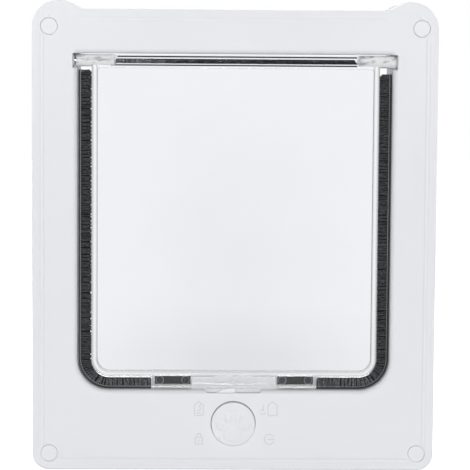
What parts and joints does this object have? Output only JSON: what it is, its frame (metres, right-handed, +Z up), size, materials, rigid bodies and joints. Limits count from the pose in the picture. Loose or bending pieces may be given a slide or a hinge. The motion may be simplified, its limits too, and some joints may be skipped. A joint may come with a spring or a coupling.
{
  "type": "cat flap",
  "caption": "Four-way locking cat flap: clear swinging flap with brush seals and magnets in a two-part white frame that clamps a door, with a rotary lock knob.",
  "frame": {"origin": "middle of the passage, in the plane where the room-side frame meets the door", "axes": "+X right and +Z up as seen from the room; +Y through the door, from the room to the outer side"},
  "size_m": [0.252, 0.0728, 0.2936],
  "materials": {
    "frame_plastic": "satin white moulded plastic, fine texture",
    "cap_plastic": "satin white moulded plastic",
    "knob_plastic": "satin white moulded plastic with a raised figure",
    "lock_plastic": "plain white moulded plastic",
    "clear_flap": "clear polished plastic",
    "brush_pile": "dark grey polypropylene pile",
    "holder_plastic": "dark grey plastic",
    "magnet": "dull nickel-plated magnet",
    "bush_nylon": "natural nylon",
    "steel": "bright zinc-plated steel",
    "brass": "machined brass"
  },
  "bodies": {
    "root": {"room_side_frame": "frame_plastic", "outer_side_frame": "frame_plastic", "lock_cover": "lock_plastic", "detent_spring": "steel", "brush_seal_left": "brush_pile", "brush_seal_right": "brush_pile", "hinge_bush_left": "bush_nylon", "hinge_bush_right": "bush_nylon", "keeper_plate_left": "steel", "keeper_plate_right": "steel", "cover_screw_left": "steel", "cover_screw_right": "steel", "frame_screw_lower_left": "steel", "frame_screw_lower_right": "steel", "frame_screw_upper_left": "steel", "frame_screw_upper_right": "steel", "screw_cap_lower_left": "cap_plastic", "screw_cap_lower_right": "cap_plastic", "screw_cap_upper_left": "cap_plastic", "screw_cap_upper_right": "cap_plastic", "threaded_sleeve_lower_left": "brass", "threaded_sleeve_lower_right": "brass", "threaded_sleeve_upper_left": "brass", "threaded_sleeve_upper_right": "brass"},
    "flap": {"flap_pane": "clear_flap", "flap_top_seal": "brush_pile", "hinge_pin_left": "steel", "hinge_pin_right": "steel", "magnet_holder_left": "holder_plastic", "magnet_holder_right": "holder_plastic", "flap_magnet_left_inner": "magnet", "flap_magnet_left_outer": "magnet", "flap_magnet_right_inner": "magnet", "flap_magnet_right_outer": "magnet"},
    "lock": {"lock_knob": "knob_plastic", "lock_cam_front": "lock_plastic", "lock_cam_rear": "lock_plastic", "lock_spacer": "lock_plastic", "lock_washer": "steel", "lock_screw": "steel"}
  },
  "joints": [
    {"name": "flap_swing", "type": "hinge", "parent": "root", "child": "flap", "pos_m": [0, -0.0082, 0.1007], "axis": [1, 0, 0], "range_deg": [-85, 85]},
    {"name": "lock_turn", "type": "hinge", "parent": "root", "child": "lock", "pos_m": [0, -0.0082, -0.1259], "axis": [0, 1, 0], "continuous": true}
  ]
}
